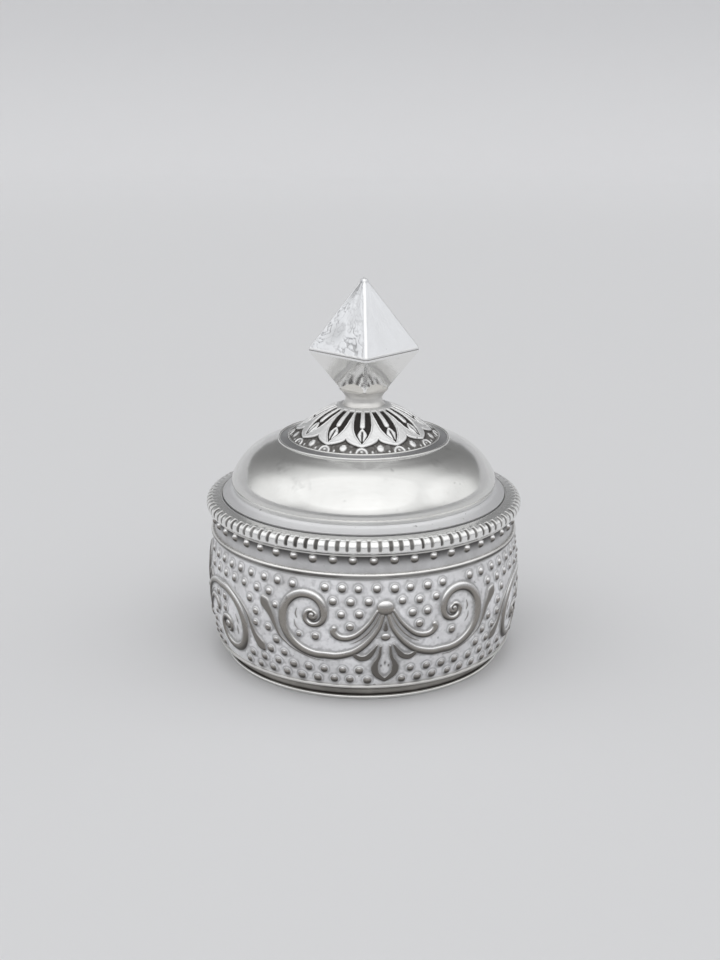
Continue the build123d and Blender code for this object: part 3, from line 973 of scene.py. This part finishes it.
def level_ring(half, z, dent=0.0):
    """Points of a rounded square at one height, pushed in by the dent at each."""
    ring, _ = rounded_square(half)
    return np.column_stack([ring - dent, np.full(len(ring), z)])


def face_dents(steps, seed, dent, crinkle):
    """Depth of the dents of one face: broad hollows, and the fine wrinkles of thin sheet."""
    rng = np.random.default_rng(seed)
    broad = rng.normal(0, 1, (KNOB_LEVELS, steps))
    fine = rng.normal(0, 1, (KNOB_LEVELS, steps))
    folds = 1 - np.clip(np.abs(blur(fine, 1.7, 2.4)) / 0.06, 0, 1)
    patch = smooth(blur(rng.normal(0, 1, (KNOB_LEVELS, steps)), 9, 9), -0.02, 0.04)
    return dent * (0.4 + 9 * np.abs(blur(broad, 10, 10))) + crinkle * folds * (0.35 + 0.65 * patch)


def worn_profile(z_wide, z_narrow, wide, narrow):
    """Half-diagonal and height of each level of a pyramid: blunt corners, a seam and a round tip."""
    level = np.linspace(0, 1, KNOB_LEVELS)
    tall = abs(z_narrow - z_wide)
    halves = wide + (narrow - wide) * level
    heights = z_wide + (z_narrow - z_wide) * level
    if z_narrow > z_wide:
        crown = np.clip((heights - (z_narrow - TIP_ROUNDING)) / TIP_ROUNDING, 0, 1)
        start = wide + (narrow - wide) * (1 - TIP_ROUNDING / tall)
        halves = np.where(crown > 0, start * np.sqrt(1 - 0.98 * crown**2), halves)
    gone = level * tall
    halves = np.minimum(halves, wide - 0.2 - 0.25 * gone) - SEAM * (1 - smooth(gone, 0, 0.12))
    return halves, heights


def capped_tube(name, rows, hanging):
    """Joins level rings of points into one closed piece; hanging rings run from below upwards."""
    count = rows.shape[1]
    index = np.arange(rows.shape[0] * count).reshape(-1, count)
    beside = np.roll(index, -1, axis=1)
    quads = np.stack([index[:-1], index[1:], beside[1:], beside[:-1]], axis=-1).reshape(-1, 4)
    faces = [*quads.tolist(), index[0].tolist(), index[-1, ::-1].tolist()]
    if hanging:
        faces = [face[::-1] for face in faces]
    piece = mesh_piece(name, rows.reshape(-1, 3), faces)
    piece.data.shade_smooth()
    piece.data.set_sharp_from_angle(angle=math.radians(60))
    return piece


def pyramid_shell(name, node, z_wide, z_narrow, wide, narrow, dents, seed):
    """Hollow pyramid of sheet with rounded edges and softly dented faces."""
    tall = abs(z_narrow - z_wide)
    standing = z_narrow > z_wide
    level = np.linspace(0, 1, KNOB_LEVELS)
    share = rounded_square(wide)[1]
    across = np.clip(1 - share**2, 0, 1)
    count = 4 * len(share)
    depth = np.zeros((KNOB_LEVELS, count))
    wrinkled = np.zeros((KNOB_LEVELS, count))
    outward = np.zeros((count, 2))
    for k, (dent, crinkle) in enumerate(dents):
        face = slice(k * len(share), (k + 1) * len(share))
        field = face_dents(len(share), seed + k, dent, crinkle)
        field = field * smooth(across, 0.02, 0.2) * smooth(level, 0, 0.06)[:, None]
        depth[:, face] = field * smooth(1 - level, 0, 0.06)[:, None]
        folds = np.clip(depth[:, face] / max(crinkle, LEAST_CRINKLE) - 0.5, 0, 1)
        wrinkled[:, face] = folds * (crinkle > LEAST_CRINKLE)
        outward[face] = (math.sin(face_angle(k)), -math.cos(face_angle(k)))

    halves, heights = worn_profile(z_wide, z_narrow, wide, narrow)
    pushed = outward * depth[:, :, None]
    skin = np.array([level_ring(*values) for values in zip(halves, heights, pushed)])

    # Inner skin: the same rings drawn in by the sheet, so that the shell is closed
    drop = math.sqrt(2) * SHEET * 0.8
    reach = (wide - drop - 0.2) / (wide - narrow) if standing else 1 - SHEET / tall
    lining = np.array([
        level_ring(wide + (narrow - wide) * t - drop, z_wide + (z_narrow - z_wide) * t)
        for t in np.linspace(0, min(reach, 1), LINING_LEVELS)
    ])
    piece = capped_tube(name, np.concatenate([skin[::-1], lining]), not standing)

    # Edges and the hem above the seam are polished, the seam itself and the wrinkles are dark
    gone = level * tall
    edge = np.tile(1 - smooth(across, 0.05, 0.14), 4)
    hem = smooth(gone, 0.08, 0.14) * (1 - smooth(gone, 0.34, 0.46))
    seam = 1 - smooth(gone, 0.0, 0.09)
    bare = np.zeros((LINING_LEVELS, count))
    paint(piece, "polish", np.concatenate([np.maximum(edge, hem[:, None])[::-1], bare]))
    paint(piece, "soot_and_shade", np.concatenate([np.maximum(seam[:, None], 0.5 * wrinkled)[::-1], bare]))
    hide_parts(node)
    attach(piece, "lid")
    return piece


# Materials


def set_or_link(tree, socket, value):
    """Sets a socket to a number or a colour, or links it to another socket."""
    if isinstance(value, (int, float)):
        socket.default_value = value
    elif isinstance(value, tuple):
        socket.default_value = (*value, 1)
    else:
        tree.links.new(value, socket)


def mix_colours(tree, factor, a, b):
    node = tree.nodes.new("ShaderNodeMix")
    node.data_type = "RGBA"
    for socket, value in zip((node.inputs[0], node.inputs[6], node.inputs[7]), (factor, a, b)):
        set_or_link(tree, socket, value)
    return node.outputs[2]


def combine(tree, operation, a, b, clamp=False):
    """Result of one operation on two numbers or sockets."""
    node = tree.nodes.new("ShaderNodeMath")
    node.operation = operation
    node.use_clamp = clamp
    for socket, value in zip(node.inputs, (a, b)):
        set_or_link(tree, socket, value)
    return node.outputs[0]


def remap(tree, value, low, high, out_low, out_high):
    """Maps a value from one range to another, and keeps it within that one."""
    node = tree.nodes.new("ShaderNodeMapRange")
    node.inputs["From Min"].default_value = low
    node.inputs["From Max"].default_value = high
    node.inputs["To Min"].default_value = out_low
    node.inputs["To Max"].default_value = out_high
    tree.links.new(value, node.inputs["Value"])
    return node.outputs["Result"]


def noise(tree, place, scale, detail, rough):
    node = tree.nodes.new("ShaderNodeTexNoise")
    node.inputs["Scale"].default_value = scale
    node.inputs["Detail"].default_value = detail
    node.inputs["Roughness"].default_value = rough
    tree.links.new(place, node.inputs["Vector"])
    return node.outputs["Fac"]


def stretched(tree, place):
    """Coordinates in which noise runs out into fine slanting lines."""
    mapping = tree.nodes.new("ShaderNodeMapping")
    mapping.inputs["Scale"].default_value = (1.0, 9.0, 3.0)
    mapping.inputs["Rotation"].default_value = (0.3, 0.2, 0.6)
    tree.links.new(place, mapping.inputs["Vector"])
    return mapping.outputs["Vector"]


def mark(tree, name):
    """One of the numbers painted on the mesh."""
    node = tree.nodes.new("ShaderNodeAttribute")
    node.attribute_name = name
    return node.outputs["Fac"]


def silver(name, ground, bright, dark, ground_rough, bright_rough, grain, scratch, blotch, painted, painted_light):
    """Silver with a matte ground, polished relief and dark recesses, told apart by the mesh's marks.

    A piece that isn't painted has no marks, and gets faint ones from noise. Where it has painted light,
    polished relief gets a painted highlight where it faces up and painted shade where it faces down.
    """
    material = bpy.data.materials.new(name)
    material.use_nodes = True
    tree = material.node_tree
    shader = tree.nodes["Principled BSDF"]
    shader.inputs["Metallic"].default_value = 1.0
    place = tree.nodes.new("ShaderNodeTexCoord").outputs["Object"]
    patches = noise(tree, place, 220, 5, 0.6)
    fine = noise(tree, place, 2600, 3, 0.6)
    lines = noise(tree, stretched(tree, place), 500, 6, 0.75)
    polish = mark(tree, "polish") if painted else remap(tree, lines, 0.3, 0.7, 0.8, 1.0)
    soot_and_shade = mark(tree, "soot_and_shade") if painted else remap(tree, patches, 0.62, 0.8, 0.0, 0.25)

    colour = mix_colours(tree, polish, ground, bright)
    dull = tuple(0.72 * c for c in bright)
    colour = mix_colours(tree, remap(tree, patches, 0.35, 0.7, 0.0, blotch), colour, dull)
    if painted and painted_light:
        # Painted highlight: polish that faces up is mixed towards near white
        facing = tree.nodes.new("ShaderNodeSeparateXYZ")
        tree.links.new(tree.nodes.new("ShaderNodeNewGeometry").outputs["Normal"], facing.inputs[0])
        above = remap(tree, facing.outputs["Z"], 0.1, 0.5, 0.0, 0.95)
        above = combine(tree, "MULTIPLY", above, polish, True)
        colour = mix_colours(tree, above, colour, (0.92, 0.92, 0.92))
        # Painted shade: polish that faces down is darkened
        below = remap(tree, facing.outputs["Z"], 0.0, -0.4, 0.0, 0.85)
        below = combine(tree, "MULTIPLY", below, polish, True)
        soot_and_shade = combine(tree, "MAXIMUM", soot_and_shade, below)
    specks = remap(tree, noise(tree, place, 900, 2, 0.5), 0.70, 0.76, 0.0, 0.8)
    specks = combine(tree, "MULTIPLY", specks, 0.5 if painted else 0.2)
    soot_and_shade = combine(tree, "MAXIMUM", soot_and_shade, specks)
    tree.links.new(mix_colours(tree, soot_and_shade, colour, dark), shader.inputs["Base Color"])

    rough = tree.nodes.new("ShaderNodeMix")
    rough.inputs[2].default_value = ground_rough
    rough.inputs[3].default_value = bright_rough
    tree.links.new(polish, rough.inputs[0])
    scratches = remap(tree, lines, 0.35, 0.75, 0.0, scratch)
    rough = combine(tree, "ADD", rough.outputs[0], scratches)
    rough = combine(tree, "ADD", rough, combine(tree, "MULTIPLY", soot_and_shade, 0.25), True)
    tree.links.new(rough, shader.inputs["Roughness"])

    bump = tree.nodes.new("ShaderNodeBump")
    bump.inputs["Strength"].default_value = 0.5
    bump.inputs["Distance"].default_value = grain * MM
    texture = combine(tree, "ADD", fine, combine(tree, "MULTIPLY", lines, 0.7))
    tree.links.new(texture, bump.inputs["Height"])
    tree.links.new(bump.outputs["Normal"], shader.inputs["Normal"])
    return material


def dress(piece, material):
    piece.data.materials.clear()
    piece.data.materials.append(material)


DARK = (0.045, 0.040, 0.038)
GREY_DARK = (0.07, 0.066, 0.062)
MID = (0.30, 0.29, 0.275)
# Painted reflection: the warm grey of the polished relief is darkened to stand for dark surroundings in it
WARM_PAINTED_REFLECTION = (0.34, 0.32, 0.295)
# Painted shade: satin silver darkened for the border band between the rosette's ring wires
SATIN_PAINTED_SHADE = (0.40, 0.40, 0.41)
SATIN_PAINTED_SHADE_BRIGHT = (0.5, 0.5, 0.51)
FOOT = (0.42, 0.40, 0.37)
FOOT_BRIGHT = (0.56, 0.54, 0.51)
BEIGE = (0.60, 0.575, 0.54)
SATIN = (0.74, 0.73, 0.71)
SATIN_BRIGHT = (0.72, 0.71, 0.69)
POLISHED = (0.80, 0.80, 0.785)
WHITE = (0.82, 0.82, 0.83)
WIRE = (0.84, 0.83, 0.81)
FACE = (0.84, 0.85, 0.87)
LEAF = (0.86, 0.86, 0.86)
MATTE = (0.88, 0.88, 0.88)
FLUTE = (0.92, 0.92, 0.91)
FACE_EDGE = (0.93, 0.93, 0.93)
FROST = (0.93, 0.93, 0.945)
MIRROR = (0.96, 0.955, 0.94)
MIRROR_EDGE = (0.97, 0.97, 0.97)

# Colours of ground, polish and recesses, roughness of ground and of polish, depth of the grain in
# millimetres, roughness of scratches, share of blotches, whether painted, and whether polish gets a
# painted highlight where it faces up and painted shade where it faces down
FINISHES = {
    "embossed_silver": (FROST, WARM_PAINTED_REFLECTION, GREY_DARK, 0.6, 0.2, 0.03, 0.12, 0.25, True, True),
    "leaf_silver": (MID, LEAF, DARK, 0.5, 0.4, 0.02, 0.1, 0.1, True, True),
    "rim_silver": (BEIGE, FLUTE, GREY_DARK, 0.34, 0.19, 0.004, 0.1, 0.15, True, False),
    "polished_silver": (BEIGE, POLISHED, GREY_DARK, 0.2, 0.09, 0.004, 0.1, 0.2, False, False),
    "wire_silver": (BEIGE, WIRE, GREY_DARK, 0.3, 0.18, 0.01, 0.16, 0.3, True, False),
    "matte_silver": (WHITE, MATTE, GREY_DARK, 0.5, 0.42, 0.02, 0.12, 0.1, True, True),
    "satin_silver": (SATIN, SATIN_BRIGHT, GREY_DARK, 0.42, 0.33, 0.015, 0.12, 0.2, False, False),
    "foot_silver": (FOOT, FOOT_BRIGHT, DARK, 0.4, 0.26, 0.02, 0.2, 0.5, True, False),
    "satin_painted_shade_silver": (SATIN_PAINTED_SHADE, SATIN_PAINTED_SHADE_BRIGHT, GREY_DARK, 0.4, 0.3, 0.012, 0.12, 0.3, False, False),
    "knob_silver": (FACE, FACE_EDGE, GREY_DARK, 0.34, 0.3, 0.012, 0.12, 0.2, True, False),
    "knob_mirror_silver": (MIRROR, MIRROR_EDGE, GREY_DARK, 0.1, 0.2, 0.006, 0.08, 0.1, True, False),
}
RING_FINISHES = {
    "foot_wire": "polished_silver",
    "foot_ring": "foot_silver",
    "base_plate": "satin_silver",
    "girdle_wire": "wire_silver",
    "mouth_rim": "satin_silver",
    "mouth_bezel": "satin_silver",
    "lid_flange": "matte_silver",
    "outer_ring_wire": "polished_silver",
    "inner_ring_wire": "polished_silver",
    "rosette_band": "satin_painted_shade_silver",
}

finish = {name: silver(name, *values) for name, values in FINISHES.items()}
dress(body_relief(), finish["embossed_silver"])
dress(collar_band(), finish["embossed_silver"])
dress(fluted_rim(), finish["rim_silver"])
for node, piece in plain_rings().items():
    dress(piece, finish[RING_FINISHES[node]])
dress(dome(), finish["polished_silver"])
dress(rosette(), finish["leaf_silver"])
dress(spool(), finish["satin_silver"])
knob_under = pyramid_shell(
    "knob_under", "lower_pyramid", EQUATOR, bottom("lower_pyramid"), WIDE, NARROW_BELOW, UNDER_DENTS, 51
)
knob_top = pyramid_shell(
    "knob_top", "upper_pyramid", EQUATOR, top("upper_pyramid"), WIDE, NARROW_ABOVE, TOP_DENTS, 52
)
dress(knob_under, finish["knob_mirror_silver"])
dress(knob_top, finish["knob_silver"])
for node in ("pin_washer", "knob_pin"):
    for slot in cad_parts[node].material_slots:
        slot.material = finish["satin_silver"]


# Floor and backdrop

FLOOR_REACH = 1200.0
FLOOR_BEND = 160.0
BACKDROP_RISE = 160.0
FLOOR_STEPS = 96


def floor_material():
    material = bpy.data.materials.new("floor")
    material.use_nodes = True
    shader = material.node_tree.nodes["Principled BSDF"]
    shader.inputs["Base Color"].default_value = (0.74, 0.74, 0.75, 1)
    shader.inputs["Roughness"].default_value = 0.7
    return material


def floor_and_backdrop():
    """A pale floor that curves up into a low backdrop on every side."""
    bend_start = FLOOR_REACH - FLOOR_BEND
    profile = [(bend_start, 0.0)]
    profile += arc((bend_start, FLOOR_BEND), FLOOR_BEND, -90, 0, 12)[1:]
    profile += [(FLOOR_REACH, FLOOR_BEND + BACKDROP_RISE)]
    points = [(0, 0, 0)]
    for r, z in profile:
        points += [(r * math.sin(a), -r * math.cos(a), z) for a in angles(FLOOR_STEPS)]
    index = 1 + np.arange(len(profile) * FLOOR_STEPS).reshape(-1, FLOOR_STEPS)
    after = np.roll(index, -1, axis=1)
    faces = [(0, *pair) for pair in zip(index[0].tolist(), after[0].tolist())]
    quads = np.stack([index[:-1], index[1:], after[1:], after[:-1]], axis=-1).reshape(-1, 4)
    stage = mesh_piece("floor", points, faces + quads.tolist())
    stage.data.shade_smooth()
    dress(stage, floor_material())


# Light

SKY_BASE = 0.60
# Direction of each soft light, the angles at which it is full and gone, and what it adds
SKY_LIGHTS = (
    ((0.0, -0.34, 0.94), 34, 68, 0.44),
    ((-0.91, 0.04, 0.41), 8, 34, 0.38),
    ((0.91, 0.04, 0.41), 8, 34, 0.38),
    ((0.0, -0.97, 0.22), 10, 55, 0.16),
    ((0.0, 0.96, 0.28), 20, 68, -0.36),
)
KEY_PLACE = Vector((-40, -230, 570)) * MM
KEY_AIM = Vector((0, 0, 30)) * MM
KEY_SIZE = (1000 * MM, 800 * MM)
KEY_RADIANCE = 0.14


def toward(tree, place, direction, full, none):
    """1 where the light comes from within a cone round a direction, fading to 0; angles in degrees."""
    dot = tree.nodes.new("ShaderNodeVectorMath")
    dot.operation = "DOT_PRODUCT"
    dot.inputs[1].default_value = Vector(direction).normalized()
    tree.links.new(place, dot.inputs[0])
    node = tree.nodes.new("ShaderNodeMapRange")
    node.interpolation_type = "SMOOTHSTEP"
    node.inputs["From Min"].default_value = math.cos(math.radians(none))
    node.inputs["From Max"].default_value = math.cos(math.radians(full))
    tree.links.new(dot.outputs["Value"], node.inputs["Value"])
    return node.outputs["Result"]


def sky():
    """A pale tent of light, brightest overhead and in front, paler at the sides, darker low behind."""
    world = bpy.data.worlds.new("studio")
    bpy.context.scene.world = world
    world.use_nodes = True
    tree = world.node_tree
    back = tree.nodes["Background"]
    place = tree.nodes.new("ShaderNodeTexCoord").outputs["Generated"]
    level = SKY_BASE
    for direction, full, none, strength in SKY_LIGHTS:
        part = combine(tree, "MULTIPLY", toward(tree, place, direction, full, none), strength)
        level = combine(tree, "ADD", level, part)
    tree.links.new(level, back.inputs["Strength"])
    back.inputs["Color"].default_value = (0.99, 0.995, 1.0, 1.0)


def key_light():
    """A large elliptical soft lamp over the camera, aimed at the box."""
    data = bpy.data.lights.new("key", "AREA")
    data.shape = "ELLIPSE"
    data.size, data.size_y = KEY_SIZE
    data.energy = KEY_RADIANCE * math.pi * math.pi / 4 * data.size * data.size_y
    lamp = bpy.data.objects.new("key", data)
    lamp.location = KEY_PLACE
    lamp.rotation_euler = (KEY_AIM - KEY_PLACE).to_track_quat("-Z", "Y").to_euler()
    bpy.context.scene.collection.objects.link(lamp)


# Camera: its lens, and its place as seen from the point it aims at, in degrees and millimetres

CAMERA_LENS = 48.65
CAMERA_ELEVATION = 17.16
CAMERA_ROLL = 0.11
CAMERA_DISTANCE = 214.8
CAMERA_AIM = (-0.6, 0.0, 28.4)


def camera():
    data = bpy.data.cameras.new("camera")
    data.sensor_width = 36
    data.lens = CAMERA_LENS
    data.clip_start = 0.005
    data.clip_end = 10
    eye = bpy.data.objects.new("camera", data)
    bpy.context.scene.collection.objects.link(eye)
    elevation = math.radians(CAMERA_ELEVATION)
    roll = math.radians(CAMERA_ROLL)
    look = Vector((0, math.cos(elevation), -math.sin(elevation)))
    right = Vector((1, 0, 0))
    up = right.cross(look)
    rolled_right = right * math.cos(roll) + up * math.sin(roll)
    rolled_up = up * math.cos(roll) - right * math.sin(roll)
    turn = Matrix((rolled_right, rolled_up, -look)).transposed().to_4x4()
    eye.matrix_world = Matrix.Translation((Vector(CAMERA_AIM) - look * CAMERA_DISTANCE) * MM) @ turn
    bpy.context.scene.camera = eye


floor_and_backdrop()
sky()
key_light()
camera()
bpy.context.scene.view_settings.view_transform = "Standard"
